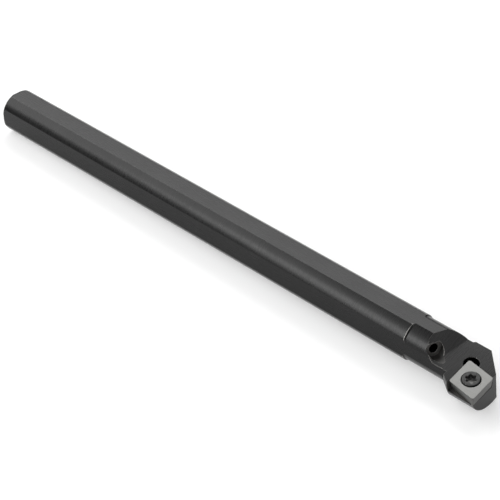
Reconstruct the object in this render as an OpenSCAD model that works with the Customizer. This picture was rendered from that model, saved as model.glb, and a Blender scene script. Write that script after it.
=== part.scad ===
// Through-coolant boring bar with a screw-held 80 degree rhombic insert.
// The bar's axis is X. The back end is at x = 0, the head points to +X,
// the top flat faces +Z and the insert's cutting corner is on the -Y side at centre height.

/* [Shank] */
// Length from the back end to the cutting corner
overall_l = 140; // [110:1:200]
// Diameter of the round shank
shank_d = 10; // [8.4:0.1:12]
// Depth of the top flat and the bottom flat below the round
flat_cut = 0.5; // [0.3:0.05:0.7]
// Depth of the flat on the insert's side below the round
side_flat_cut = 0.45; // [0.3:0.05:0.7]
// Chamfer round the back end
back_chamfer = 0.4; // [0.2:0.05:0.8]

/* [Neck] */
// Length of the neck behind the head, with its cone
neck_l = 10.1; // [8:0.1:13]
// How far the neck lies below the shank's round
neck_cut = 0.28; // [0.2:0.01:0.36]
// Length of the cone from the shank down to the neck
neck_cone_l = 0.3; // [0.2:0.05:1.2]

/* [Head] */
// Diameter of the head's round about the bar's axis
head_d = 10.2; // [9.8:0.1:10.8]
// Length of the head from its shoulder to the front face
head_l = 8.4; // [7.5:0.1:10.5]
// Length of the cone at the head's shoulder
shoulder_cone_l = 0.4; // [0.2:0.05:0.8]
// Radius of the lobe that carries the insert
lobe_r = 5.7; // [5.4:0.05:6.2]
// How far the lobe's axis is set to the insert's side
lobe_side = 1; // [0.8:0.05:1.1]
// How far the lobe's axis is set down
lobe_drop = 0.05; // [0:0.01:0.2]
// Slope of the cone at the back of the lobe, from the bar's axis
lobe_slope = 35; // [28:1:45]
// Distance from the head's shoulder to where the lobe is full
lobe_start = 2.25; // [1.8:0.05:2.7]
// Place of the front face's far edge beyond the bar's axis
front_edge = 0.37; // [0:0.01:0.8]
// Angle of the far front corner's cut
front_cut_angle = 45; // [35:1:55]

/* [Chip pocket] */
// Distance from the cutting corner back to the pocket wall's top edge
chip_wall_back = 13.6; // [12:0.1:16]
// Turn of the pocket wall in plan
chip_wall_skew = 21; // [10:0.5:30]
// Slope of the pocket wall above the level
chip_wall_slope = 49; // [40:1:60]
// How far the pocket floor lies below the insert's top face
floor_drop = 0.02; // [0.02:0.02:0.3]

/* [Insert] */
// Diameter of the circle inside the insert's outline
insert_ic = 6.35; // [5.6:0.05:6.6]
// Thickness of the insert
insert_t = 2.38; // [2:0.02:2.9]
// Corner angle at the cutting corner
insert_angle = 80; // [75:1:85]
// Lean of the insert's flanks
insert_clearance = 7; // [5:0.5:7.5]
// Corner radius
insert_corner_r = 0.4; // [0.34:0.01:0.8]
// Diameter of the insert's hole
insert_hole_d = 2.8; // [2.6:0.05:3.2]
// Diameter of the countersink at the top face
insert_sink_d = 3.95; // [3.7:0.05:4.4]
// Depth of the countersink
insert_sink_l = 1; // [0.7:0.05:1.3]
// Distance from the bar's axis to the cutting corner
corner_offset = 7; // [6.4:0.05:7.6]
// How far the cutting corner reaches past the front face
corner_reach = 0.3; // [0.1:0.05:0.6]
// Tilt of the insert about the bar's axis
seat_tilt = 11.25; // [5:0.25:14]
// Angle of the front cutting edge to the bar's axis
lead_angle = 91; // [90:0.5:95]
// Gap between the insert's flanks and the seat's walls
wall_gap = 0.02; // [0.01:0.01:0.05]
// Diameter of the relief hole at the seat's inner corner
relief_d = 3.2; // [2.4:0.1:3.6]
// Distance of the relief hole's axis before that corner
relief_front = 0.85; // [0.6:0.01:1.1]
// Distance of the relief hole's axis from that corner to the side
relief_side = 0.5; // [0.4:0.01:0.9]
// Depth of the relief hole below the seat
relief_extra = 0.3; // [0.1:0.05:0.6]

/* [Insert screw] */
// Thread diameter
screw_d = 2.5; // [2:0.05:2.6]
// Diameter of the screw's head
screw_head_d = 3.6; // [3.3:0.05:3.8]
// How far the head stands above the insert's top face
screw_rise = 0.2; // [0.1:0.02:0.3]
// Length of the screw below the insert's top face
screw_l = 5.6; // [4.6:0.1:6]
// Rounding of the head's upper edge
screw_edge = 0.15; // [0.05:0.05:0.25]
// Width of the six-lobed socket over its lobes
socket_d = 2.3; // [1.9:0.05:2.5]
// Radius of each lobe of the socket
socket_lobe_r = 0.28; // [0.22:0.01:0.34]
// Turn of the socket's lobes
socket_turn = 13; // [0:1:59]
// Depth of the socket
socket_l = 0.8; // [0.6:0.05:1]
// Gap round the screw's thread
thread_gap = 0.02; // [0.01:0.01:0.05]

/* [Coolant] */
// Diameter of the coolant bore along the bar
bore_d = 3; // [2.4:0.1:3.8]
// Distance from the cutting corner back to the outlet's mouth
outlet_back = 13.12; // [12:0.02:15]
// Distance of the outlet's mouth to the insert's side of the bar's axis
outlet_side = 2.45; // [2:0.05:2.9]
// Height of the outlet's mouth above the bar's axis
outlet_up = 2; // [1.6:0.05:2.4]
// Diameter of the outlet
outlet_d = 1.95; // [1.6:0.05:2.4]
// Diameter of the spot face round the outlet
spot_d = 3.55; // [3:0.05:4.2]
// Turn of the outlet in plan
outlet_turn = 20; // [14:0.5:26]
// Rise of the outlet
outlet_rise = 8; // [4:0.5:12]

/* [Hidden] */
$fn = 96;
// Larger than any cut, so that a block of this size acts as a half space
REACH = 4 * shank_d;
// Overlap that carries a cut past the face it opens
EPS = 0.5;

shank_r = shank_d / 2;
neck_r = shank_r - neck_cut;
head_r = head_d / 2;
flat_z = shank_r - flat_cut;
side_flat_y = shank_r - side_flat_cut;
front_x = overall_l - corner_reach;
shoulder_x = front_x - head_l;
shank_l = shoulder_x - neck_l;
lobe_full_x = shoulder_x + lobe_start;

// The insert's outline, seen square to its top face, from its sharp cutting corner
half_angle = insert_angle / 2;
bisector = lead_angle + half_angle;
corner_arc = insert_corner_r / sin(half_angle) * [cos(bisector), sin(bisector)];
corner_to_centre = insert_ic / 2 / sin(half_angle);
insert_centre = corner_to_centre * [cos(bisector), sin(bisector)];
far_corner = 2 * insert_centre;
sharp_x = overall_l - insert_corner_r - corner_arc[0];
sharp_step = corner_arc[1] - insert_corner_r;
sharp_y = -corner_offset - sharp_step * cos(seat_tilt);
sharp_z = -sharp_step * sin(seat_tilt);
sink_slope = (insert_sink_d - insert_hole_d) / 2 / insert_sink_l;
head_seat_l = (insert_sink_d - screw_head_d) / 2 / sink_slope;
front_normal = lead_angle - 90;
side_normal = front_normal - (180 - insert_angle);

// Lays a shape that was built along Z along the bar, starting at x
module along_x(x, side = 0, up = 0) {
    translate([x, side, up]) rotate([0, 90, 0]) children();
}

// Everything on the +X side of the plane x = 0
module half_space() {
    translate([0, -REACH / 2, -REACH / 2]) cube(REACH);
}

// Puts a shape into the tilted frame of the insert's top face
module on_insert() {
    translate([sharp_x, sharp_y, sharp_z]) rotate([seat_tilt, 0, 0]) children();
}

// Moves a shape from the cutting corner to the insert's centre
module at_centre() {
    translate([insert_centre[0], insert_centre[1], 0]) children();
}

// Everything outside the flank whose outward direction is given, with a gap to it
module outside_flank(direction, gap = 0) {
    rotate([0, 0, direction]) translate([insert_ic / 2 + gap, 0, 0])
        rotate([0, insert_clearance, 0]) half_space();
}

// Turned shape of shank, neck and head about the bar's axis
module turned_blank() {
    along_x(0) rotate_extrude() polygon([
        [0, 0],
        [shank_r - back_chamfer, 0],
        [shank_r, back_chamfer],
        [shank_r, shank_l],
        [neck_r, shank_l + neck_cone_l],
        [neck_r, shoulder_x],
        [head_r, shoulder_x + shoulder_cone_l],
        [head_r, front_x],
        [0, front_x]
    ]);
}

// Lobe that carries the insert, with the cone behind it
module lobe() {
    cone_small_r = neck_r - 2 * lobe_side;
    cone_l = (lobe_r - cone_small_r) / tan(lobe_slope);
    along_x(lobe_full_x - cone_l, -lobe_side, -lobe_drop) {
        cylinder(h = cone_l, r1 = cone_small_r, r2 = lobe_r);
        translate([0, 0, cone_l]) cylinder(h = front_x - lobe_full_x, r = lobe_r);
    }
}

// Flats that run from the back end to the head's shoulder
module flats() {
    run = shoulder_x + EPS;
    translate([-EPS, -REACH / 2, flat_z]) cube([run, REACH, REACH]);
    translate([-EPS, -REACH / 2, -flat_z - REACH]) cube([run, REACH, REACH]);
    translate([-EPS, -side_flat_y - REACH, -REACH / 2]) cube([run, REACH, REACH]);
}

// Open space in front of the sloping wall and above the tilted floor
module chip_pocket() {
    intersection() {
        translate([overall_l - chip_wall_back, 0, flat_z])
            rotate([0, chip_wall_slope - 90, -chip_wall_skew]) half_space();
        on_insert() translate([0, 0, -floor_drop]) rotate([0, -90, 0]) half_space();
    }
}

// Cut at the far front corner, square to the pocket floor
module far_corner_cut() {
    on_insert()
        translate([front_x - sharp_x, (front_edge - sharp_y) / cos(seat_tilt), 0])
            rotate([0, 0, front_cut_angle]) half_space();
}

// Seat of the insert: open at the front and the side, walled behind and inside
module seat() {
    on_insert() {
        difference() {
            translate([0, 0, -insert_t]) rotate([0, -90, 0]) half_space();
            at_centre() {
                outside_flank(front_normal + 180, wall_gap);
                outside_flank(side_normal + 180, wall_gap);
            }
        }
        relief_at = far_corner + [relief_front, -relief_side];
        translate([relief_at[0], relief_at[1], -insert_t - relief_extra])
            cylinder(h = insert_t + relief_extra + EPS, d = relief_d);
        at_centre() translate([0, 0, -REACH / 2])
            cylinder(h = REACH / 2, d = screw_d + 2 * thread_gap);
    }
}

// Coolant bore from the back end, with its drill point, and the slanting outlet
module coolant_way() {
    point_l = bore_d / 2 * tan(31);
    outlet_x = overall_l - outlet_back;
    reach_back = outlet_side / sin(outlet_turn) / cos(outlet_rise);
    bore_end = outlet_x - reach_back * cos(outlet_turn) * cos(outlet_rise);
    along_x(-EPS) cylinder(h = bore_end + bore_d / 2 + EPS, d = bore_d);
    along_x(bore_end + bore_d / 2) cylinder(h = point_l, d1 = bore_d, d2 = 0);
    translate([outlet_x, -outlet_side, outlet_up])
        rotate([0, 90 - outlet_rise, -outlet_turn]) {
            cylinder(h = REACH / 2, d = spot_d);
            translate([0, 0, -reach_back]) cylinder(h = reach_back + EPS, d = outlet_d);
        }
}

// One-piece steel bar: shank, neck and head
module bar() {
    color("#4b4b4a") difference() {
        union() {
            turned_blank();
            lobe();
        }
        flats();
        chip_pocket();
        far_corner_cut();
        seat();
        coolant_way();
    }
}

// Rhombic plate with leaning flanks and sharp corners
module sharp_plate() {
    difference() {
        at_centre() translate([0, 0, -insert_t])
            cylinder(h = insert_t, r = corner_to_centre + EPS);
        at_centre() for (direction = [front_normal, side_normal], turn = [0, 180])
            outside_flank(direction + turn);
    }
}

// Rounds one corner: cuts the tip off at the arc's chord and fills in the leaning arc
module corner_tip(direction, half) {
    reach = (insert_ic / 2 - insert_corner_r) / sin(half);
    rotate([0, 0, direction]) translate([reach, 0, 0]) children();
}

// Indexable insert with its countersunk hole
module insert() {
    foot_r = max(0.02, insert_corner_r - insert_t * tan(insert_clearance));
    color("#b2b2ac") on_insert() difference() {
        union() {
            difference() {
                sharp_plate();
                at_centre() for (corner = [0 : 3]) {
                    half = corner % 2 == 0 ? half_angle : 90 - half_angle;
                    corner_tip(bisector + 90 * corner, half)
                        translate([insert_corner_r * sin(half), 0, 0])
                            rotate([0, atan(tan(insert_clearance) * sin(half)), 0]) half_space();
                }
            }
            at_centre() for (corner = [0 : 3]) {
                half = corner % 2 == 0 ? half_angle : 90 - half_angle;
                corner_tip(bisector + 90 * corner, half) translate([0, 0, -insert_t])
                    cylinder(h = insert_t, r1 = foot_r, r2 = insert_corner_r);
            }
        }
        at_centre() {
            translate([0, 0, -insert_t - EPS]) cylinder(h = insert_t + 2 * EPS, d = insert_hole_d);
            translate([0, 0, -insert_sink_l])
                cylinder(h = insert_sink_l + EPS, d1 = insert_hole_d,
                         d2 = insert_sink_d + 2 * EPS * sink_slope);
        }
    }
}

// Six-lobed socket, seen along the screw
module socket_outline() {
    lobe_at = socket_d / 2 - socket_lobe_r;
    circle(r = lobe_at);
    for (turn = [0 : 60 : 300]) rotate(turn) translate([lobe_at, 0]) circle(r = socket_lobe_r);
}

// Countersunk screw that holds the insert down
module insert_screw() {
    head_r = screw_head_d / 2;
    thread_r = screw_d / 2;
    tip = screw_d / 8;
    color("#5f5f5e") on_insert() at_centre() difference() {
        rotate_extrude() polygon([
            [0, -screw_l],
            [thread_r - tip, -screw_l],
            [thread_r, tip - screw_l],
            [thread_r, -insert_sink_l],
            [insert_hole_d / 2, -insert_sink_l],
            [head_r, -head_seat_l],
            [head_r, screw_rise - screw_edge],
            [head_r - screw_edge, screw_rise],
            [0, screw_rise]
        ]);
        translate([0, 0, screw_rise - socket_l]) linear_extrude(socket_l + EPS)
            rotate(socket_turn) socket_outline();
    }
}

bar();
insert();
insert_screw();
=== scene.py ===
"""Studio picture of a through-coolant boring bar with a screw-held rhombic insert.

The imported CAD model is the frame. Its three parts are shown by finer meshes of the same sizes:
the machined bar with its edges broken, the ground carbide insert and the threaded insert screw.
All sizes are in millimetres until a finished mesh is scaled to the frame's metres.
"""

import logging
from dataclasses import dataclass, field
from enum import Enum
from math import atan2, cos, degrees, pi, radians, sin, sqrt, tan
from typing import Callable, Iterable, Sequence

import bmesh
import bpy
from bmesh.types import BMesh
from bpy.types import ID, Material, Mesh, Node, NodeSocket, NodeTree, Object, World
from mathutils import Matrix, Vector
from mathutils.bvhtree import BVHTree


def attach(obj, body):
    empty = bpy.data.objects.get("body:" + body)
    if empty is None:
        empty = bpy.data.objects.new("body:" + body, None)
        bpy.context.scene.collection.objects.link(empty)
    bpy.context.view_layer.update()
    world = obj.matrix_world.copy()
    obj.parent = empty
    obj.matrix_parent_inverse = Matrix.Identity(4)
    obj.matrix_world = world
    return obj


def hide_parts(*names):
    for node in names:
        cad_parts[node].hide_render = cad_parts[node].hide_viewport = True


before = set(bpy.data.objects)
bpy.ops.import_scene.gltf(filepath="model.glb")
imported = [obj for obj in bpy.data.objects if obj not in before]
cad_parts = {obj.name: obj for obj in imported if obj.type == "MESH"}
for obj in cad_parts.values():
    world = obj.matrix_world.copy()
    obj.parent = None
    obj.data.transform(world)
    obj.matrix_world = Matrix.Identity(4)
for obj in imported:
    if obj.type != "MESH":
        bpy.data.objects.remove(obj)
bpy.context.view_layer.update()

LOG = logging.getLogger("boring_bar")
METRES = 0.001
ROUND_STEPS = 108
HOLE_STEPS = 64
HARD_EDGE = 50.0

Point = tuple[float, float, float]
Link = Node | NodeSocket


class Slot(Enum):
    """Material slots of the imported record."""

    BAR = "blackened_steel"
    INSERT = "carbide"
    SCREW = "screw_steel"


class Cut(Enum):
    """Ways in which one solid changes another."""

    REMOVE = "DIFFERENCE"
    ADD = "UNION"
    KEEP = "INTERSECT"


class Lay(Enum):
    """Kind of a bar face: how its lines run, or that it is a recess drawn paler as painted light.
    """

    AROUND = 0.0
    ALONG = 1.0
    RECESS = 2.0


def linear(colour: str) -> tuple[float, float, float, float]:
    """Turns an sRGB hex colour into linear values.

    Args:
        colour: Colour such as "#808080".

    Returns:
        Linear red, green and blue, and an alpha of 1.
    """
    parts = [int(colour[i : i + 2], 16) / 255 for i in (1, 3, 5)]
    return (*(c / 12.92 if c <= 0.04045 else ((c + 0.055) / 1.055) ** 2.4 for c in parts), 1.0)


def add_node(tree: NodeTree, kind: str, inputs: dict | None = None, **settings: object) -> Node:
    """Adds a node with its settings and links.

    Args:
        tree: Node tree that gets the node.
        kind: Type name of the node, where a shader node's is given without ShaderNode.
        inputs: Value, or what to link from, for each input by its name or number. A node is linked
            from its first output.
        **settings: Properties of the node.

    Returns:
        The new node.
    """
    node = tree.nodes.new(kind if "Node" in kind else f"ShaderNode{kind}")
    for name, value in settings.items():
        setattr(node, name, value)
    for key, value in (inputs or {}).items():
        if isinstance(value, Link):
            source = value.outputs[0] if isinstance(value, Node) else value
            tree.links.new(source, node.inputs[key])
        else:
            node.inputs[key].default_value = value
    return node


def shift(x: float, y: float, z: float) -> Matrix:
    """Matrix that moves by x, y and z."""
    return Matrix.Translation((x, y, z))


def turn(axis: str, angle: float) -> Matrix:
    """Matrix that turns about an axis through the origin."""
    return Matrix.Rotation(radians(angle), 4, axis)


def polar(radius: float, angle: float) -> tuple[float, float]:
    """Point in a plane at that radius and angle."""
    return radius * cos(radians(angle)), radius * sin(radians(angle))


def add_object(name: str, data: ID) -> Object:
    """Object in the scene that shows a mesh, a light or a camera."""
    item = bpy.data.objects.new(name, data)
    bpy.context.scene.collection.objects.link(item)
    return item


def shade(bm: BMesh, hollow: float = HARD_EDGE) -> None:
    """Smooths a mesh but for its hard edges, which in a hollow start at an angle of their own.

    Args:
        bm: Mesh to smooth.
        hollow: Angle in degrees from which an edge in a hollow is hard.
    """
    for face in bm.faces:
        face.smooth = True
    for edge in bm.edges:
        edge.smooth = -radians(hollow) < edge.calc_face_angle_signed(0) < radians(HARD_EDGE)


class Solid:
    """Closed mesh in millimetres that is placed, joined to others and cut by them."""

    def __init__(self, points: Sequence[Point], faces: Sequence[Sequence[int]]) -> None:
        """Makes the mesh with its faces outwards.

        Args:
            points: Corners.
            faces: Corner numbers of each face.
        """
        self.mesh = bpy.data.meshes.new("solid")
        self.mesh.from_pydata(points, [], faces)
        self.edit(lambda bm: bmesh.ops.recalc_face_normals(bm, faces=bm.faces))

    @staticmethod
    def strips(count: int, rows: int, closed: bool = False) -> list[tuple[int, ...]]:
        """Faces between rows of points.

        Args:
            count: Number of points in a row.
            rows: Number of rows.
            closed: Whether the last row joins the first one.

        Returns:
            Corner numbers of each face.
        """
        return [
            (row * count + i, row * count + (i + 1) % count,
             (row + 1) % rows * count + (i + 1) % count, (row + 1) % rows * count + i)
            for row in range(rows if closed else rows - 1)
            for i in range(count)
        ]

    @classmethod
    def from_rows(cls, rows: Sequence[Sequence[Point]], foot: Point, top: Point) -> "Solid":
        """Skins closed rows of points from a foot to a top point.

        Args:
            rows: Loops with the same number of points, from the foot to the top.
            foot: Point that closes the first row.
            top: Point that closes the last row.

        Returns:
            The closed solid.
        """
        count = len(rows[0])
        points = [point for row in rows for point in row] + [foot, top]
        faces = cls.strips(count, len(rows))
        last = (len(rows) - 1) * count
        for i in range(count):
            faces.append(((i + 1) % count, i, len(points) - 2))
            faces.append((last + i, last + (i + 1) % count, len(points) - 1))
        return cls(points, faces)

    @classmethod
    def ring(cls, rows: Sequence[Sequence[Point]]) -> "Solid":
        """Skins closed rows of points into a ring that closes on its first row.

        Args:
            rows: Loops with the same number of points, round the ring's section.

        Returns:
            The closed solid.
        """
        points = [point for row in rows for point in row]
        return cls(points, cls.strips(len(rows[0]), len(rows), closed=True))

    @classmethod
    def revolved(
        cls, profile: Sequence[tuple[float, float]], steps: int = ROUND_STEPS,
        tip: float | None = None,
    ) -> "Solid":
        """Solid of revolution about Z.

        Args:
            profile: Radius and height of each row, from the foot to the top.
            steps: Number of facets round the axis.
            tip: Height of the point that closes the top, if it isn't flat.

        Returns:
            The closed solid.
        """
        rows = [
            [(*polar(radius, 360 * i / steps), height) for i in range(steps)]
            for radius, height in profile
        ]
        top = profile[-1][1] if tip is None else tip
        return cls.from_rows(rows, (0, 0, profile[0][1]), (0, 0, top))

    @classmethod
    def drill(cls, radius: float, start: float, end: float, tip: float | None = None) -> "Solid":
        """Cutter of a round hole along Z, with the height of its point if it has one."""
        return cls.revolved([(radius, start), (radius, end)], HOLE_STEPS, tip)

    @classmethod
    def block(cls, low: Point, high: Point) -> "Solid":
        """Block between two corners.

        Args:
            low: Corner with the least x, y and z.
            high: Corner with the most x, y and z.

        Returns:
            The closed solid.
        """
        xs, ys, zs = zip(low, high)
        rows = [[(xs[i], ys[j], z) for i, j in ((0, 0), (1, 0), (1, 1), (0, 1))] for z in zs]
        points = rows[0] + rows[1]
        sides = [(i, (i + 1) % 4, (i + 1) % 4 + 4, i + 4) for i in range(4)]
        return cls(points, [(3, 2, 1, 0), (4, 5, 6, 7), *sides])

    @classmethod
    def beyond(cls, placed: Matrix, reach: float = 40.0) -> "Solid":
        """Everything on the +X side of a placed YZ plane.

        Args:
            placed: Place of the plane.
            reach: Size of the block that stands for the half space.

        Returns:
            The placed block.
        """
        return cls.block((0, -reach / 2, -reach / 2), (reach, reach / 2, reach / 2)).place(placed)

    def edit(self, change: Callable[[BMesh], object]) -> "Solid":
        """Changes the mesh through bmesh.

        Args:
            change: Function that edits the bmesh.

        Returns:
            This solid.
        """
        bm = bmesh.new()
        bm.from_mesh(self.mesh)
        change(bm)
        bm.to_mesh(self.mesh)
        bm.free()
        return self

    def place(self, matrix: Matrix) -> "Solid":
        """Moves the solid and returns it."""
        self.mesh.transform(matrix)
        return self

    def apply(self, other: "Solid", cut: Cut) -> "Solid":
        """Joins, cuts or crosses this solid with another one.

        Args:
            other: The other solid, which is used up.
            cut: What happens to this solid.

        Returns:
            This solid.
        """
        host, tool = (add_object("solid", solid.mesh) for solid in (self, other))
        modifier = host.modifiers.new("cut", "BOOLEAN")
        modifier.object, modifier.operation, modifier.solver = tool, cut.value, "EXACT"
        old = self.mesh
        self.mesh = plain_mesh(host)
        for item in (host, tool):
            bpy.data.objects.remove(item)
        for mesh in (old, other.mesh):
            bpy.data.meshes.remove(mesh)
        return self

    def remove(self, *others: "Solid") -> "Solid":
        """Cuts the others out of this solid and returns it."""
        for other in others:
            self.apply(other, Cut.REMOVE)
        return self


def plain_mesh(item: Object) -> Mesh:
    """Plain mesh of an object with its modifiers applied.

    Args:
        item: Object whose evaluated shape is wanted.

    Returns:
        A mesh of its own, with no modifier left.
    """
    graph = bpy.context.evaluated_depsgraph_get()
    graph.update()
    return bpy.data.meshes.new_from_object(item.evaluated_get(graph), depsgraph=graph)


@dataclass(frozen=True)
class EdgeBreak:
    """Small rounding that a stone or tumbling leaves on machined edges."""

    width: float = 0.06
    steps: int = 3
    # Points closer than weld are merged before the rounding, and closer than merge after it
    weld: float = 0.03
    merge: float = 0.0024
    # A point that stands prouder than this is put back on the unrounded surface
    slack: float = 0.003
    flat_within: float = 0.3
    sharp_from: float = 8.0
    reach: float = 1.2
    wear_from: float = 13.0
    wear_full: float = 30.0
    order: Point = (1.0, 0.377, 0.143)

    def work(self, bm: BMesh, hidden: Callable[[Vector], bool]) -> None:
        """Rounds the outer edges and marks the inner ones sharp.

        Args:
            bm: Closed mesh of one solid. The rounded strips get the face value edge_wear_and_painted_light.
            hidden: Tells whether a point lies where no stone reaches, so that its edge stays sharp.
        """
        bmesh.ops.remove_doubles(bm, verts=bm.verts, dist=self.weld)
        bmesh.ops.dissolve_degenerate(bm, dist=self.weld / 2, edges=bm.edges)
        bmesh.ops.dissolve_limit(
            bm, angle_limit=radians(self.flat_within), verts=bm.verts, edges=bm.edges,
            use_dissolve_boundaries=False,
        )
        outer = [
            edge for edge in bm.edges
            if edge.calc_face_angle_signed(0) > radians(self.sharp_from)
            and not hidden((edge.verts[0].co + edge.verts[1].co) / 2)
        ]
        wear_and_painted_light = bm.faces.layers.float.new("edge_wear_and_painted_light")
        before = BVHTree.FromBMesh(bm)
        made = bmesh.ops.bevel(
            bm, geom=outer, offset=self.width, offset_type="OFFSET", segments=self.steps,
            profile=0.5, affect="EDGES", clamp_overlap=False, miter_outer="SHARP",
        )
        for face in made["faces"]:
            _, normal, _, _ = before.find_nearest(face.calc_center_median())
            turned = degrees(face.normal.angle(normal, 0.0))
            share = (turned - self.wear_from) / (self.wear_full - self.wear_from)
            face[wear_and_painted_light] = min(1.0, max(0.0, share))
        for vert in bm.verts:
            near, normal, _, distance = before.find_nearest(vert.co)
            if distance > self.reach * self.width or (vert.co - near).dot(normal) > self.slack:
                vert.co = near
        bmesh.ops.remove_doubles(bm, verts=bm.verts, dist=self.merge)
        bmesh.ops.triangulate(bm, faces=[face for face in bm.faces if len(face.verts) > 4])
        # The bevel returns its faces in no fixed order, so they are put in one
        bm.faces.sort(key=lambda face: face.calc_center_median().dot(self.order))
        shade(bm, self.sharp_from)


@dataclass
class Piece:
    """A finished mesh of the visual model and the CAD node that it stands for."""

    name: str
    node: str
    slot: Slot

    def publish(self, mesh: Mesh, material: Material) -> None:
        """Puts a mesh in millimetres into the scene, where it stands for its CAD node.

        Args:
            mesh: Mesh in the part's frame.
            material: Finish of the whole piece.
        """
        mesh.materials.clear()
        mesh.materials.append(material)
        item = add_object(self.name, mesh)
        modifier = item.modifiers.new("normals", "WEIGHTED_NORMAL")
        modifier.keep_sharp = True
        item.data = plain_mesh(item)
        item.modifiers.clear()
        bpy.data.meshes.remove(mesh)
        item.data.transform(Matrix.Scale(METRES, 4))
        item.data.name = self.name
        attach(item, "root")
        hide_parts(self.node)
        LOG.info("%s: %d vertices, stands for %s", self.name, len(item.data.vertices), self.node)


def empty_tree(owner: Material | World) -> NodeTree:
    """Node tree of a new material or world, with no node left in it."""
    owner.use_nodes = True
    owner.node_tree.nodes.clear()
    return owner.node_tree


def millimetres(tree: NodeTree, place: Matrix | None = None) -> Link:
    """Object coordinates in millimetres.

    Args:
        tree: Node tree of a material.
        place: Frame, in millimetres, in which the coordinates are wanted.

    Returns:
        Where to link the point from.
    """
    point = add_node(tree, "TexCoord").outputs["Object"]
    point = add_node(tree, "Mapping", {"Vector": point, "Scale": (1 / METRES,) * 3})
    if place is None:
        return point
    inverse = place.inverted()
    return add_node(
        tree, "Mapping",
        {"Vector": point, "Location": inverse.to_translation(), "Rotation": inverse.to_euler()},
    )


@dataclass(frozen=True, kw_only=True)
class MetalFinish:
    """What the metals share: a gloss that varies a little and fine lines pressed into the face.

    The dulling is for recesses. The photograph is a rendering whose faces don't mirror each other,
    so its recesses are paler than real ones, and they are drawn paler and duller here to match.
    """

    name: str
    dark: str
    light: str
    roughness: float
    roughness_spread: float
    line_height: float
    dulling: float = 0.0
    noise_low: float = 0.3
    noise_high: float = 0.7
    # Values of the pattern that give the dark and the light tone
    tone_low: float = 0.0
    tone_high: float = 1.0

    def tone(self, noise: Link) -> Link:
        """Colour between the dark and the light tone.

        Args:
            noise: Pattern that chooses the tone.

        Returns:
            Where to link the colour from.
        """
        tree = noise.id_data
        limits = {"Value": noise, "From Min": self.tone_low, "From Max": self.tone_high}
        share = add_node(tree, "MapRange", limits)
        return add_node(
            tree, "Mix", {"Factor": share, 6: linear(self.dark), 7: linear(self.light)},
            data_type="RGBA",
        ).outputs[2]

    def dress(self, colour: Link, haze: Link, lines: Link, recess: Link | None = None) -> None:
        """Adds the shader with its colour, gloss and lines.

        Args:
            colour: Colour of the metal.
            haze: Noise that varies the gloss.
            lines: Height of the lines.
            recess: Share of the dulling, 1 in a recess that gets all of it.
        """
        tree = colour.id_data
        gloss = add_node(
            tree, "MapRange",
            {"Value": haze, "From Min": self.noise_low, "From Max": self.noise_high,
             "To Min": self.roughness - self.roughness_spread,
             "To Max": self.roughness + self.roughness_spread},
        )
        if recess is not None:
            factors = {0: recess, 1: self.dulling, 2: gloss}
            gloss = add_node(tree, "Math", factors, operation="MULTIPLY_ADD")
        bump = add_node(
            tree, "Bump",
            {"Height": lines, "Strength": 1.0, "Distance": self.line_height * METRES},
        )
        shader = add_node(
            tree, "BsdfPrincipled",
            {"Base Color": colour, "Metallic": 1.0, "Roughness": gloss, "Normal": bump},
        )
        add_node(tree, "OutputMaterial", {"Surface": shader})


@dataclass(frozen=True, kw_only=True)
class BlackenedSteel(MetalFinish):
    """Hardened alloy steel, turned, milled and ground, then black oxide finished.

    The thin oxide keeps the metal's sheen but makes it dark grey. Grinding leaves fine lines round
    the shank and along the flats, the bath leaves faint clouds, and rubbing shows brighter steel
    at the edges. The same brighter steel is painted as a highlight on chosen edges and as light in
    the recesses.
    """

    name: str = "blackened_steel"
    dark: str = "#2c2c2c"
    light: str = "#323232"
    # Lighter steel for rubbing, also painted as highlights on edges and as light in recesses
    rubbed_and_painted_light: str = "#a3a19e"
    roughness: float = 0.28
    roughness_spread: float = 0.02
    dulling: float = 0.2
    # Real grinding lines are about 0.03 mm apart; they are drawn at 0.2 mm to show in the picture
    line_pitch: float = 0.2
    line_height: float = 0.0003
    line_drift: float = 0.04
    recess_angle: float = 35.0
    cloud_size: float = 6.0
    # Rubbing and painted light show least where clouds are under patch_low, in full over patch_high
    patch_low: float = 0.35
    patch_high: float = 0.6
    patch_least: float = 0.45

    def material(self) -> Material:
        """Builds the finish as a node material.

        Returns:
            The material of the whole piece.
        """
        material = bpy.data.materials.new(self.name)
        tree = empty_tree(material)
        point = millimetres(tree)
        across, drift = 1 / self.line_pitch, self.line_drift / self.line_pitch
        lay, wear_and_painted_light = (
            add_node(tree, "Attribute", attribute_name=name).outputs["Fac"]
            for name in ("lay", "edge_wear_and_painted_light")
        )
        way, *others = (
            add_node(
                tree, "Mapping",
                {"Vector": point, "Scale": scale, "Rotation": (0, 0, radians(angle))},
            )
            for scale, angle in (
                ((across, drift, drift), 0.0), ((drift, across, across), 0.0),
                ((across, drift, drift), self.recess_angle),
            )
        )
        along, recess = (
            add_node(tree, "Math", {0: lay, 1: kind.value - 0.5}, operation="GREATER_THAN")
            for kind in (Lay.ALONG, Lay.RECESS)
        )
        for share, other in zip((along, recess), others):
            way = add_node(
                tree, "Mix", {"Factor": share, 4: way, 5: other}, data_type="VECTOR"
            ).outputs[1]
        lines = add_node(tree, "TexNoise", {"Vector": way, "Scale": 1.0, "Detail": 2.0})
        clouds = add_node(
            tree, "TexNoise",
            {"Vector": point, "Scale": 1 / self.cloud_size, "Detail": 4.0, "Roughness": 0.6},
        )
        patchy = add_node(
            tree, "MapRange",
            {"Value": clouds, "From Min": self.patch_low, "From Max": self.patch_high,
             "To Min": self.patch_least, "To Max": 1.0},
        )
        # Lighter steel's share: rubbing, painted highlights, and painted light in recesses
        wear_and_painted_light_mix = add_node(tree, "Math", {0: wear_and_painted_light, 1: patchy}, operation="MULTIPLY")
        colour = add_node(
            tree, "Mix", {"Factor": wear_and_painted_light_mix, 6: self.tone(clouds), 7: linear(self.rubbed_and_painted_light)},
            data_type="RGBA",
        ).outputs[2]
        self.dress(colour, lines, lines, recess)
        return material


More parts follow.
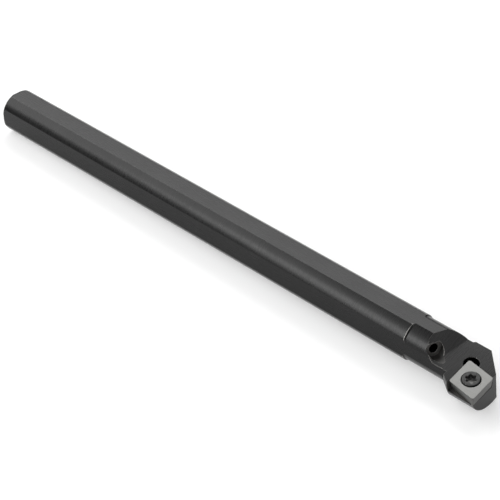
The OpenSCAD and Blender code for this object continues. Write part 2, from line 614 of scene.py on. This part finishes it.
@dataclass(frozen=True, kw_only=True)
class GroundCarbide(MetalFinish):
    """Cemented tungsten carbide, pressed and sintered, then ground on the top face and the flanks.

    It is a pale, slightly warm grey metal with a satin face. The wheel leaves fine straight lines,
    and the carbide grains give a faint speckle. The flanks carry painted shade: they are drawn
    darker than the top face, as the photograph shows them.
    """

    place: Matrix
    name: str = "carbide"
    dark: str = "#7b7b79"
    light: str = "#868684"
    tone_low: float = 0.12
    tone_high: float = 0.4
    # Painted shade: the flanks' colour is this share of the top face's
    flank_painted_shade: float = 0.58
    roughness: float = 0.45
    roughness_spread: float = 0.03
    # Grains are under 0.005 mm; the speckle is drawn at 0.12 mm and the wheel's lines at 0.15 mm
    speckle: float = 0.12
    line_pitch: float = 0.15
    line_height: float = 0.0005
    line_drift: float = 0.05

    def material(self) -> Material:
        """Builds the finish as a node material.

        Returns:
            The material of the whole piece.
        """
        material = bpy.data.materials.new(self.name)
        tree = empty_tree(material)
        point = millimetres(tree, self.place)
        across, drift = 1 / self.line_pitch, self.line_drift / self.line_pitch
        stretched = add_node(tree, "Mapping", {"Vector": point, "Scale": (drift, across, across)})
        speckle, lines = (
            add_node(tree, "TexNoise", {"Vector": vector, "Scale": scale, "Detail": 2.0})
            for vector, scale in ((point, 1 / self.speckle), (stretched, 1.0))
        )
        both = add_node(tree, "Math", {0: speckle, 1: lines}, operation="MULTIPLY")
        # Painted shade on the flanks, which are drawn darker than the top face
        flank = add_node(tree, "Attribute", attribute_name="flank").outputs["Fac"]
        share = add_node(
            tree, "MapRange", {"Value": flank, "To Min": 1.0, "To Max": self.flank_painted_shade}
        )
        shaded = add_node(
            tree, "VectorMath",
            {0: self.tone(both), "Scale": share}, operation="SCALE",
        )
        self.dress(shaded, lines, lines)
        return material


@dataclass(frozen=True, kw_only=True)
class HardenedScrewSteel(MetalFinish):
    """Cold headed and rolled screw steel, hardened to a dark temper finish.

    The head is turned, so faint rings run round its axis, and it is a little brighter than the
    bar. The socket is drawn paler with painted light, and duller.
    """

    place: Matrix
    name: str = "screw_steel"
    dark: str = "#3c3c3c"
    light: str = "#424241"
    tone_low: float = 0.7
    tone_high: float = 1.3
    # Paler steel that paints light into the socket
    socket_painted_light_colour: str = "#8e8d8b"
    roughness: float = 0.3
    roughness_spread: float = 0.04
    dulling: float = 0.2
    haze_scale: float = 1.4
    # Turning rings of a real head are about 0.04 mm apart; they are drawn at 0.12 mm
    ring_pitch: float = 0.12
    line_height: float = 0.0006

    def material(self) -> Material:
        """Builds the finish as a node material.

        Returns:
            The material of the whole piece.
        """
        material = bpy.data.materials.new(self.name)
        tree = empty_tree(material)
        point = millimetres(tree, self.place)
        flat = add_node(tree, "Mapping", {"Vector": point, "Scale": (1.0, 1.0, 0.0)})
        radius = add_node(tree, "VectorMath", {0: flat}, operation="LENGTH").outputs["Value"]
        stations = add_node(tree, "Math", {0: radius, 1: 1 / self.ring_pitch}, operation="MULTIPLY")
        rings = add_node(
            tree, "TexNoise", {"W": stations, "Scale": 1.0, "Detail": 2.0}, noise_dimensions="1D"
        )
        haze = add_node(
            tree, "TexNoise", {"Vector": point, "Scale": self.haze_scale, "Detail": 3.0}
        )
        both = add_node(tree, "Math", {0: rings, 1: haze}, operation="ADD")
        # Painted light: the socket's share of the paler steel
        wear_and_painted_light = add_node(tree, "Attribute", attribute_name="socket_painted_light").outputs["Fac"]
        wear_and_painted_light_mix = add_node(
            tree, "Mix",
            {"Factor": wear_and_painted_light, 6: self.tone(both), 7: linear(self.socket_painted_light_colour)},
            data_type="RGBA",
        ).outputs[2]
        self.dress(wear_and_painted_light_mix, haze, rings, wear_and_painted_light)
        return material


@dataclass
class Seat:
    """Place of the insert in the bar: the frame of its top face and its outline's main sizes."""

    tip_x: float = 140.0
    corner_offset: float = 7.0
    tilt: float = 11.25
    lead_angle: float = 91.0
    corner_angle: float = 80.0
    inner_circle: float = 6.35
    corner_r: float = 0.4
    thickness: float = 2.38
    clearance: float = 7.0

    @property
    def half(self) -> float:
        """Half of the cutting corner's angle."""
        return self.corner_angle / 2

    @property
    def bisector(self) -> float:
        """Direction from the cutting corner to the insert's centre."""
        return self.lead_angle + self.half

    @property
    def corner(self) -> Matrix:
        """Frame of the top face at the sharp cutting corner.

        Returns:
            The frame, with Z out of the top face.
        """
        step_x, step_y = polar(self.corner_r / sin(radians(self.half)), self.bisector)
        sharp = step_y - self.corner_r
        tilt = radians(self.tilt)
        return shift(
            self.tip_x - self.corner_r - step_x,
            -self.corner_offset - sharp * cos(tilt),
            -sharp * sin(tilt),
        ) @ turn("X", self.tilt)

    @property
    def to_centre(self) -> tuple[float, float]:
        """Step from the sharp corner to the centre, in the top face."""
        return polar(self.inner_circle / 2 / sin(radians(self.half)), self.bisector)

    @property
    def centre(self) -> Matrix:
        """Frame of the top face at the insert's centre."""
        return self.corner @ shift(*self.to_centre, 0)

    def flank(self, direction: float, gap: float = 0.0) -> Matrix:
        """Plane of a flank, facing outwards.

        Args:
            direction: Outward direction of the flank in the top face.
            gap: Distance of the plane outside the flank.

        Returns:
            Place of a YZ plane on the flank.
        """
        out = turn("Z", direction) @ shift(self.inner_circle / 2 + gap, 0, 0)
        return self.centre @ out @ turn("Y", self.clearance)


@dataclass
class Bar:
    """One-piece steel holder with shank, neck, head, chip pocket, seat and coolant way."""

    seat: Seat
    length: float = 140.0
    shank_r: float = 5.0
    flat_z: float = 4.5
    side_flat_y: float = 4.55
    back_chamfer: float = 0.4
    neck_l: float = 10.1
    neck_r: float = 4.72
    neck_cone_l: float = 0.3
    head_r: float = 5.1
    head_l: float = 8.4
    shoulder_cone_l: float = 0.4
    corner_reach: float = 0.3
    lobe_r: float = 5.7
    lobe_side: float = 1.0
    lobe_drop: float = 0.05
    lobe_slope: float = 35.0
    lobe_start: float = 2.25
    front_edge: float = 0.37
    front_cut_angle: float = 45.0
    wall_back: float = 13.6
    wall_skew: float = 21.0
    wall_slope: float = 49.0
    floor_drop: float = 0.02
    wall_gap: float = 0.02
    relief_r: float = 1.6
    relief_front: float = 0.85
    relief_side: float = 0.5
    relief_extra: float = 0.3
    screw_hole_r: float = 1.27
    bore_r: float = 1.5
    drill_point: float = 31.0
    outlet_back: float = 13.12
    outlet_side: float = 2.45
    outlet_up: float = 2.0
    outlet_r: float = 0.975
    spot_r: float = 1.775
    outlet_turn: float = 20.0
    outlet_rise: float = 8.0
    # How far cutters run past a face, and how far those with no end in the bar reach
    past: float = 0.5
    far: float = 20.0
    # Lighter steel shares: rubbing on edges, then painted light in spot face, trough and seat
    light_wear: float = 0.4
    spot_painted_light: float = 0.8
    trough_painted_light: float = 0.14
    seat_painted_light: float = 0.5
    step_lean: float = 0.1
    # Most distance from a plane and least cosine to it at which a face counts as part of it
    seat_match: tuple[float, float] = (0.003, 0.999)
    flat_match: tuple[float, float] = (0.01, 0.9999)
    edges: EdgeBreak = field(default_factory=EdgeBreak)

    @property
    def front_x(self) -> float:
        """Place of the front face."""
        return self.length - self.corner_reach

    @property
    def shoulder_x(self) -> float:
        """Place of the head's shoulder."""
        return self.front_x - self.head_l

    @property
    def step_x(self) -> float:
        """Place where the shank ends and steps down to the neck."""
        return self.shoulder_x - self.neck_l

    def blank(self) -> Solid:
        """Turned shape of shank, neck and head, with the lobe that carries the insert.

        Returns:
            The uncut solid.
        """
        turned = Solid.revolved([
            (self.shank_r - self.back_chamfer, 0),
            (self.shank_r, self.back_chamfer),
            (self.shank_r, self.step_x),
            (self.neck_r, self.step_x + self.neck_cone_l),
            (self.neck_r, self.shoulder_x),
            (self.head_r, self.shoulder_x + self.shoulder_cone_l),
            (self.head_r, self.front_x),
        ]).place(turn("Y", 90))
        small_r = self.neck_r - 2 * self.lobe_side
        full_x = self.shoulder_x + self.lobe_start
        cone_l = (self.lobe_r - small_r) / tan(radians(self.lobe_slope))
        lobe = Solid.revolved([
            (small_r, full_x - cone_l), (self.lobe_r, full_x), (self.lobe_r, self.front_x),
        ]).place(shift(0, -self.lobe_side, -self.lobe_drop) @ turn("Y", 90))
        return turned.apply(lobe, Cut.ADD)

    def flats(self) -> list[Solid]:
        """Cutters of the top, bottom and side flats.

        Returns:
            One block for each flat.
        """
        end, far = self.shoulder_x + self.past, self.far
        return [
            Solid.block((-self.past, -far, self.flat_z), (end, far, far)),
            Solid.block((-self.past, -far, -far), (end, far, -self.flat_z)),
            Solid.block((-self.past, -far, -far), (end, -self.side_flat_y, far)),
        ]

    @property
    def pocket_wall(self) -> Matrix:
        """Place of a YZ plane on the chip pocket's sloping wall."""
        edge = shift(self.length - self.wall_back, 0, self.flat_z)
        return edge @ turn("Z", -self.wall_skew) @ turn("Y", self.wall_slope - 90)

    def chip_pocket(self) -> Solid:
        """Cutter in front of the sloping wall and above the tilted floor."""
        floor = self.seat.corner @ shift(0, 0, -self.floor_drop) @ turn("Y", -90)
        return Solid.beyond(self.pocket_wall).apply(Solid.beyond(floor), Cut.KEEP)

    def far_corner(self) -> Solid:
        """Cutter of the far front corner, square to the pocket floor.

        Returns:
            The placed block.
        """
        at = self.seat.corner.to_translation()
        side = (self.front_edge - at.y) / cos(radians(self.seat.tilt))
        place = self.seat.corner @ shift(self.front_x - at.x, side, 0)
        return Solid.beyond(place @ turn("Z", self.front_cut_angle))

    @property
    def seat_planes(self) -> list[Matrix]:
        """Places of YZ planes on the seat's floor and on its two walls.

        Returns:
            The floor, with +X upwards, and the walls, with +X into the steel.
        """
        seat = self.seat
        front = seat.lead_angle - 90
        side = front - (180 - seat.corner_angle)
        floor = seat.corner @ shift(0, 0, -seat.thickness) @ turn("Y", -90)
        return [floor, *(seat.flank(way + 180, self.wall_gap) for way in (front, side))]

    def seat_cutters(self) -> list[Solid]:
        """Cutters of the insert's seat, the relief hole in its corner and the screw hole.

        Returns:
            The three placed cutters.
        """
        seat, depth = self.seat, self.seat.thickness
        pocket, *walls = (Solid.beyond(plane) for plane in self.seat_planes)
        pocket.remove(*walls)
        far_x, far_y = (2 * step for step in seat.to_centre)
        relief = Solid.drill(self.relief_r, -depth - self.relief_extra, self.past)
        relief.place(seat.corner @ shift(far_x + self.relief_front, far_y - self.relief_side, 0))
        hole = Solid.drill(self.screw_hole_r, -self.far, -depth + self.past).place(seat.centre)
        return [pocket, relief, hole]

    @property
    def mouth(self) -> Matrix:
        """Frame of the coolant outlet's spot face, with Z out of the hole."""
        place = shift(self.length - self.outlet_back, -self.outlet_side, self.outlet_up)
        return place @ turn("Z", -self.outlet_turn) @ turn("Y", 90 - self.outlet_rise)

    def coolant_way(self) -> list[Solid]:
        """Cutters of the bore with its drill point, the outlet's spot face and the outlet.

        Returns:
            The three placed cutters.
        """
        mouth_x = self.length - self.outlet_back
        turned, rise = radians(self.outlet_turn), radians(self.outlet_rise)
        back = self.outlet_side / sin(turned) / cos(rise)
        end = mouth_x - back * cos(turned) * cos(rise) + self.bore_r
        point_l = self.bore_r * tan(radians(self.drill_point))
        bore = Solid.drill(self.bore_r, -self.past, end, end + point_l).place(turn("Y", 90))
        spot = Solid.drill(self.spot_r, 0, self.far).place(self.mouth)
        outlet = Solid.drill(self.outlet_r, -back, self.past).place(self.mouth)
        return [bore, spot, outlet]

    def stays_sharp(self, point: Vector) -> bool:
        """Tells whether an edge stays sharp there, out of a stone's reach.

        Args:
            point: Point in the part's frame.

        Returns:
            True for the bore's inner end, the outlet's start and the flats' run-out in the back
            chamfer.
        """
        clear, margin = 2 * self.past, self.edges.weld / 3
        inner = clear < point.x < self.length - self.outlet_back - clear
        in_bore = inner and point.yz.length < self.flat_z / 2
        return in_bore or margin < point.x < self.back_chamfer - margin

    @property
    def flat_planes(self) -> list[Matrix]:
        """Places of YZ planes on the top, bottom and side flats.

        Returns:
            One frame for each flat, with +X along its normal.
        """
        return [
            shift(0, 0, self.flat_z) @ turn("Y", -90), shift(0, 0, -self.flat_z) @ turn("Y", 90),
            shift(0, -self.side_flat_y, 0) @ turn("Z", -90),
        ]

    def mark_faces(self, bm: BMesh) -> None:
        """Notes on each face which way its tool marks run and its share of the lighter steel.

        The edges get a share by rubbing. The neck's step and the pocket wall's rim get the full
        share as a painted highlight. The outlet's spot face and the insert's seat are the recesses
        that are drawn paler with painted light.

        Args:
            bm: Mesh of the bar.
        """
        lay, wear_and_painted_light = bm.faces.layers.float.new("lay"), bm.faces.layers.float["edge_wear_and_painted_light"]
        to_wall, to_mouth = self.pocket_wall.inverted(), self.mouth.inverted()
        planes = [
            (plane.inverted(), *match, kind)
            for group, match, kind in (
                (self.seat_planes, self.seat_match, Lay.RECESS),
                (self.flat_planes, self.flat_match, Lay.ALONG),
            )
            for plane in group
        ]
        width, weld = self.edges.width, self.edges.weld
        for face in bm.faces:
            middle = face.calc_center_median()
            # Painted highlight in full at the neck's step and the wall's rim; rubbing on other
            # edges
            on_step = abs(middle.x - self.step_x) < width and face.normal.x > self.step_lean
            on_rim = abs((to_wall @ middle).x) < width and face[wear_and_painted_light] > 0
            face[wear_and_painted_light] = 1.0 if on_step or on_rim else face[wear_and_painted_light] * self.light_wear
            from_mouth = to_mouth @ middle
            # Painted light in the outlet's spot face and its trough
            if from_mouth.z > -weld and from_mouth.xy.length < self.spot_r + weld:
                face[lay] = Lay.RECESS.value
                wear_and_painted_light_mix = self.spot_painted_light if from_mouth.z < weld else self.trough_painted_light
                face[wear_and_painted_light] = max(face[wear_and_painted_light], wear_and_painted_light_mix)
                continue
            for plane, near, level, kind in planes:
                facing = abs((plane.to_3x3() @ face.normal).x)
                if facing > level and abs((plane @ middle).x) < near:
                    face[lay] = kind.value
                    # The seat's faces get painted light
                    face[wear_and_painted_light] = self.seat_painted_light if kind is Lay.RECESS else face[wear_and_painted_light]
                    break

    def build(self, finish: BlackenedSteel) -> None:
        """Machines the bar from its blank, breaks its edges and dresses it.

        Args:
            finish: Finish of the whole bar.
        """
        body = self.blank()
        body.remove(*self.flats(), self.chip_pocket(), self.far_corner())
        body.remove(*self.seat_cutters(), *self.coolant_way())
        body.edit(lambda bm: self.edges.work(bm, self.stays_sharp)).edit(self.mark_faces)
        Piece("bar_machined", "bar", Slot.BAR).publish(body.mesh, finish.material())


@dataclass
class Insert:
    """Indexable rhombic plate with leaning flanks, rounded corners and a countersunk hole."""

    seat: Seat
    hole_r: float = 1.4
    sink_r: float = 1.975
    sink_l: float = 1.0
    hone: float = 0.03
    foot_break: float = 0.04
    least_r: float = 0.02
    # A face that leans less than this towards the insert's axis is a flank
    steep: float = 0.5
    corner_steps: int = 10
    side_steps: int = 12

    def outline(self, depth: float, inside: float = 0.0) -> list[tuple[float, float]]:
        """Points of the outline at a depth below the top face.

        Args:
            depth: Distance below the top face.
            inside: Distance by which the outline is drawn in.

        Returns:
            Points round the insert's centre, the same number at every depth.
        """
        seat = self.seat
        lean = depth * tan(radians(seat.clearance))
        radius = max(self.least_r, seat.corner_r - lean - inside)
        corners = []
        for number in range(4):
            half = seat.half if number % 2 == 0 else 90 - seat.half
            way = seat.bisector + 90 * number
            off = (seat.inner_circle / 2 - seat.corner_r) / sin(radians(half))
            middle, spread, arc = polar(off, way), 90 - half, []
            for i in range(self.corner_steps + 1):
                step = polar(radius, way + spread * (2 * i / self.corner_steps - 1))
                arc.append((middle[0] + step[0], middle[1] + step[1]))
            corners.append(arc)
        points = []
        for number, arc in enumerate(corners):
            start, end = arc[-1], corners[(number + 1) % 4][0]
            points += arc
            points += [
                tuple(a + (b - a) * i / self.side_steps for a, b in zip(start, end))
                for i in range(1, self.side_steps)
            ]
        return points

    def build(self, finish: GroundCarbide) -> None:
        """Skins the insert round its section and dresses it.

        Args:
            finish: Finish of the whole insert.
        """
        angles = [atan2(y, x) for x, y in self.outline(0)]
        depth, slant = self.seat.thickness, cos(radians(45))
        section = [
            (self.hole_r + self.foot_break, -depth), (self.hole_r, self.foot_break - depth),
            (self.hole_r, -(depth + self.sink_l) / 2), (self.hole_r, -self.sink_l),
            ((self.hole_r + self.sink_r) / 2, -self.sink_l / 2),
            (self.sink_r - self.hone, -2 * self.hone), (self.sink_r, -self.hone / 2),
            (self.sink_r + self.hone, 0),
        ]
        rows = [[(r * cos(a), r * sin(a), z) for a in angles] for r, z in section]
        rows += [
            [(x, y, -drop) for x, y in self.outline(drop, inside)]
            for drop, inside in (
                (0.0, self.hone), (self.hone * (1 - slant), self.hone * (1 - slant)),
                (self.hone, 0.0), (depth / 2, 0.0), (depth - self.foot_break, 0.0),
                (depth, self.foot_break),
            )
        ]
        body = Solid.ring(rows).edit(shade).edit(self.mark_flanks).place(self.seat.centre)
        Piece("insert_ground", "insert", Slot.INSERT).publish(body.mesh, finish.material())

    def mark_flanks(self, bm: BMesh) -> None:
        """Gives the leaning flanks the face value flank, which darkens them as painted shade.

        Args:
            bm: Mesh of the insert, in its own frame.
        """
        layer = bm.faces.layers.float.new("flank")
        for face in bm.faces:
            outside = face.calc_center_median().xy.length > self.sink_r + self.hone
            face[layer] = float(outside and abs(face.normal.z) < self.steep)


@dataclass(frozen=True)
class ThreadRule:
    """Metric thread as a Geometry Nodes rule that presses its groove into a round shaft."""

    pitch: float = 0.45
    depth: float = 0.27
    start: float = -5.35
    end: float = -1.45
    crest: float = 1 / 8
    root: float = 1 / 4

    @property
    def sizes(self) -> dict[str, float]:
        """Sizes of the thread by the names of the tree's inputs."""
        return {"Pitch": self.pitch, "Depth": self.depth, "Start": self.start, "End": self.end}

    def tree(self) -> NodeTree:
        """Builds the node tree.

        Returns:
            Tree with named inputs for the thread's sizes and its material.
        """
        tree = bpy.data.node_groups.new("screw_thread", "GeometryNodeTree")
        kinds = {"Geometry": "Geometry", **dict.fromkeys(self.sizes, "Float")}
        for name, kind in {**kinds, "Material": "Material"}.items():
            tree.interface.new_socket(name, in_out="INPUT", socket_type=f"NodeSocket{kind}")
        tree.interface.new_socket("Geometry", in_out="OUTPUT", socket_type="NodeSocketGeometry")
        sizes = add_node(tree, "NodeGroupInput").outputs
        point = add_node(tree, "GeometryNodeInputPosition")
        xyz = add_node(tree, "SeparateXYZ", {0: point}).outputs
        # Across one turn the phase runs from 0 to 1, and the groove is deepest at 0.5
        found = {"x": xyz["X"], "y": xyz["Y"], "z": xyz["Z"], "pitch": sizes["Pitch"]}
        for name, operation, *values in (
            ("angle", "ARCTAN2", "y", "x"), ("turns", "DIVIDE", "angle", 2 * pi),
            ("height", "DIVIDE", "z", "pitch"), ("travel", "SUBTRACT", "height", "turns"),
            ("phase", "FRACT", "travel"), ("side", "SUBTRACT", "phase", 0.5),
            ("off", "ABSOLUTE", "side"), ("from_root", "MULTIPLY", "off", 2.0),
        ):
            inputs = {i: found.get(value, value) for i, value in enumerate(values)}
            found[name] = add_node(tree, "Math", inputs, operation=operation)
        sunk = add_node(
            tree, "MapRange",
            {"Value": found["from_root"], "From Min": 1 - self.crest, "From Max": self.root,
             "To Min": 0.0, "To Max": 1.0},
        )
        factors = [sizes["Depth"], -1.0]
        for near, operation in (("End", "SUBTRACT"), ("Start", "ADD")):
            full = add_node(tree, "Math", {0: sizes[near], 1: sizes["Pitch"]}, operation=operation)
            limits = {"Value": xyz["Z"], "From Min": sizes[near], "From Max": full}
            factors.insert(0, add_node(tree, "MapRange", limits))
        for factor in factors:
            sunk = add_node(tree, "Math", {0: sunk, 1: factor}, operation="MULTIPLY")
        flat = add_node(tree, "CombineXYZ", {"X": xyz["X"], "Y": xyz["Y"]})
        outwards = add_node(tree, "VectorMath", {0: flat}, operation="NORMALIZE")
        step = add_node(tree, "VectorMath", {0: outwards, "Scale": sunk}, operation="SCALE")
        pressed = add_node(
            tree, "GeometryNodeSetPosition", {"Geometry": sizes["Geometry"], "Offset": step}
        )
        plain = add_node(tree, "GeometryNodeRealizeInstances", {"Geometry": pressed})
        dressed = add_node(
            tree, "GeometryNodeSetMaterial", {"Geometry": plain, "Material": sizes["Material"]}
        )
        add_node(tree, "NodeGroupOutput", {"Geometry": dressed})
        return tree

    def press(self, mesh: Mesh, material: Material) -> Mesh:
        """Presses the thread into a shaft along Z.

        Args:
            mesh: Shaft in millimetres with rows close enough for the pitch.
            material: Material that the tree sets.

        Returns:
            Plain mesh with the thread.
        """
        item = add_object("shaft", mesh)
        modifier = item.modifiers.new("thread", "NODES")
        modifier.node_group = self.tree()
        values = {**self.sizes, "Material": material}
        for socket in modifier.node_group.interface.items_tree:
            if socket.in_out == "INPUT" and socket.name in values:
                modifier[socket.identifier] = values[socket.name]
        made = plain_mesh(item)
        bpy.data.objects.remove(item)
        bpy.data.meshes.remove(mesh)
        return made


@dataclass
class InsertScrew:
    """Countersunk screw with a six-lobed socket."""

    seat: Seat
    thread: ThreadRule = field(default_factory=ThreadRule)
    shaft_r: float = 1.25
    tip: float = 0.3125
    length: float = 5.6
    neck_r: float = 1.4
    neck_z: float = -1.0
    head_r: float = 1.8
    head_z: float = -0.304
    rise: float = 0.2
    edge_r: float = 0.15
    edge_steps: int = 5
    socket_core: float = 0.87
    lobe_r: float = 0.28
    socket_turn: float = 13.0
    socket_l: float = 0.8
    socket_rim: float = 0.05
    # Growth of the socket's outline and height above its floor, where its wall runs out
    socket_foot: tuple[tuple[float, float], ...] = ((0.0, 0.15), (-0.06, 0.03), (-0.2, 0.0))
    socket_dish: float = 0.02
    ease: float = 0.03
    head_ease: float = 0.05
    steps: int = 144
    row_gap: float = 0.036
    # Share of paler steel painted into the socket as light
    socket_painted_light: float = 0.3

    @property
    def socket_floor(self) -> float:
        """Height of the socket's floor."""
        return self.rise - self.socket_l

    def socket_radius(self, angle: float, grown: float = 0.0) -> float:
        """Radius of the six-lobed outline in a direction.

        Args:
            angle: Direction from the screw's axis.
            grown: Distance by which the outline is widened.

        Returns:
            Distance of the outline from the axis.
        """
        off = radians((angle - self.socket_turn + 30) % 60 - 30)
        lobe, core = self.lobe_r + grown, self.socket_core + grown
        across = self.socket_core * sin(off)
        if abs(across) >= lobe:
            return core
        return max(core, self.socket_core * cos(off) + sqrt(lobe**2 - across**2))

    def rows(self) -> Iterable[list[Point]]:
        """Rows of the screw from its tip to the socket's floor.

        Returns:
            Loops of points round the axis.
        """
        shaft_l, ease, edge_r = self.length - self.tip + self.neck_z, self.ease, self.edge_r
        count = round(shaft_l / self.row_gap)
        shaft = [
            (self.shaft_r, self.tip - self.length + shaft_l * i / count) for i in range(count + 1)
        ]
        edge = [
            (self.head_r - edge_r * (1 - cos(a)), self.rise - edge_r * (1 - sin(a)))
            for a in (radians(90 * i / self.edge_steps) for i in range(self.edge_steps + 1))
        ]
        profile = [
            (self.shaft_r - self.tip, -self.length), *shaft, (self.neck_r - ease, self.neck_z),
            (self.neck_r, self.neck_z + ease), (self.head_r - ease, self.head_z - self.head_ease),
            (self.head_r, self.head_z + ease), *edge,
        ]
        angles = [360 * i / self.steps for i in range(self.steps)]
        yield from ([(*polar(radius, a), z) for a in angles] for radius, z in profile)
        rim = self.socket_rim
        for grown, z in (
            (rim, self.rise), (rim / 3, self.rise - rim / 3), (0.0, self.rise - rim),
            *((grown, self.socket_floor + height) for grown, height in self.socket_foot),
        ):
            yield [(*polar(self.socket_radius(a, grown), a), z) for a in angles]

    def mark_socket(self, bm: BMesh) -> None:
        """Gives the socket's floor and wall their share of painted light as a face value.

        Args:
            bm: Mesh of the screw, in its own frame.
        """
        layer = bm.faces.layers.float.new("socket_painted_light")
        widest, rim = self.socket_core + self.lobe_r, self.socket_rim
        for face in bm.faces:
            middle = face.calc_center_median()
            in_depth = self.socket_floor - rim < middle.z < self.rise - rim
            face[layer] = self.socket_painted_light if in_depth and middle.xy.length < widest else 0.0

    def build(self, finish: HardenedScrewSteel) -> None:
        """Skins the screw, presses its thread and dresses it.

        Args:
            finish: Finish of the whole screw.
        """
        material = finish.material()
        dish = self.socket_floor - self.socket_dish
        body = Solid.from_rows(list(self.rows()), (0, 0, -self.length), (0, 0, dish))
        body.mesh = self.thread.press(body.mesh, material)
        body.edit(shade).edit(self.mark_socket).place(self.seat.centre)
        Piece("insert_screw_turned", "insert_screw", Slot.SCREW).publish(body.mesh, material)


@dataclass(frozen=True)
class SoftBox:
    """Rectangular studio light that faces the object.

    Azimuth runs from the bar's back end (-X) towards the insert's side (-Y).
    """

    name: str
    azimuth: float
    elevation: float
    size: tuple[float, float]
    roll: float
    level: float
    distance: float = 2.0

    def build(self, target: Vector) -> None:
        """Adds the light.

        Args:
            target: Point that the light faces, in metres.
        """
        width, height = self.size
        data = bpy.data.lights.new(self.name, "AREA")
        data.shape, data.size, data.size_y = "RECTANGLE", width, height
        data.energy = self.level * pi * width * height
        item = add_object(self.name, data)
        around, up = radians(self.azimuth), radians(self.elevation)
        flat = cos(up)
        way = Vector((-cos(around) * flat, -sin(around) * flat, sin(up)))
        facing = way.to_track_quat("Z", "Y").to_matrix()
        item.location = target + way * self.distance
        item.rotation_euler = (facing @ turn("Z", self.roll).to_3x3()).to_euler()


@dataclass
class Studio:
    """Camera of the photograph, pale floor, soft lights and an even surround."""

    azimuth: float = 43.083
    elevation: float = 36.140
    roll: float = 1.0456
    camera_at: Point = (261.73, -198.59, 196.37)
    target: Point = (0.1, 0.0, 0.0)
    clip: tuple[float, float] = (0.01, 20.0)
    picture_side: float = 500.0
    focal_pixels: float = 1591.0
    sensor: float = 36.0
    rest_back: tuple[float, float] = (0.4, -4.5)
    rest_front: tuple[float, float] = (133.55, -5.75)
    floor_side: float = 6.0
    floor_colour: str = "#d2d2d2"
    floor_lift: float = 0.4
    surround: float = 0.16
    lights: tuple[SoftBox, ...] = (
        SoftBox("long_left", 17.4, 39.1, (1.28, 1.52), 70.7, 3.25),
        SoftBox("strip_front", 61.5, 23.0, (0.5, 1.42), 44.8, 6.25),
        SoftBox("strip_back", -44.0, 44.3, (1.82, 0.74), -22.5, 5.05),
        SoftBox("right", 193.2, 40.0, (0.74, 0.82), 2.3, 1.68),
        SoftBox("front", 110.0, 44.0, (1.0, 1.3), 0.0, 3.0),
    )

    def camera(self) -> None:
        """Adds the camera at the photograph's place and angle."""
        az, el, roll = (radians(v) for v in (self.azimuth, self.elevation, self.roll))
        back = Vector((sin(az) * cos(el), -cos(az) * cos(el), sin(el)))
        right = (-back).cross(Vector((0, 0, 1))).normalized()
        up = back.cross(right)
        cosine, sine = cos(roll), sin(roll)
        right, up = right * cosine + up * sine, up * cosine - right * sine
        data = bpy.data.cameras.new("camera")
        data.sensor_width = self.sensor
        data.lens = self.sensor * self.focal_pixels / self.picture_side
        data.clip_start, data.clip_end = self.clip
        item = add_object("camera", data)
        place = Matrix((right, up, back)).transposed().to_4x4()
        place.translation = Vector(self.camera_at) * METRES
        item.matrix_world = place
        bpy.context.scene.camera = item

    def floor(self) -> None:
        """Adds the pale floor, which touches the shank's back edge and the head's lobe."""
        (x0, z0), (x1, z1) = self.rest_back, self.rest_front
        slope = (z1 - z0) / (x1 - x0)
        half, middle = self.floor_side / 2, (x0 + x1) / 2 * METRES
        places = [(middle + i * half, j * half) for i, j in ((-1, -1), (1, -1), (1, 1), (-1, 1))]
        points = [(x, y, (z0 - slope * x0) * METRES + slope * x) for x, y in places]
        mesh = bpy.data.meshes.new("floor")
        mesh.from_pydata(points, [], [(0, 1, 2, 3)])
        item = add_object("floor", mesh)
        mesh.materials.append(self.floor_material())

    def floor_material(self) -> Material:
        """Matt pale paper, lifted to white where it is seen straight, in a mirror or in glass.

        Returns:
            The floor's material.
        """
        material = bpy.data.materials.new("paper_floor")
        tree = empty_tree(material)
        path = add_node(tree, "LightPath").outputs
        seen = path["Is Camera Ray"]
        for name in ("Is Glossy Ray", "Is Transmission Ray"):
            seen = add_node(tree, "Math", {0: seen, 1: path[name]}, operation="MAXIMUM")
        lift = add_node(tree, "Math", {0: seen, 1: self.floor_lift}, operation="MULTIPLY")
        paper = add_node(tree, "BsdfDiffuse", {"Color": linear(self.floor_colour)})
        glow = add_node(tree, "Emission", {"Strength": lift})
        both = add_node(tree, "AddShader", {0: paper, 1: glow})
        add_node(tree, "OutputMaterial", {"Surface": both})
        return material

    def surround_light(self) -> None:
        """Sets the even surround."""
        world = bpy.data.worlds.new("surround")
        tree = empty_tree(world)
        plain = add_node(tree, "Background", {"Color": (1, 1, 1, 1), "Strength": self.surround})
        add_node(tree, "OutputWorld", {"Surface": plain})
        bpy.context.scene.world = world

    def build(self) -> None:
        """Builds the whole studio."""
        self.camera()
        self.floor()
        self.surround_light()
        for light in self.lights:
            light.build(Vector(self.target))
        bpy.context.scene.view_settings.view_transform = "Standard"


def main() -> None:
    """Builds the boring bar and its studio."""
    logging.basicConfig(level=logging.INFO, format="%(name)s: %(message)s")
    seat = Seat()
    Bar(seat).build(BlackenedSteel())
    Insert(seat).build(GroundCarbide(place=seat.centre))
    InsertScrew(seat).build(HardenedScrewSteel(place=seat.centre))
    Studio().build()


if __name__ == "__main__":
    main()
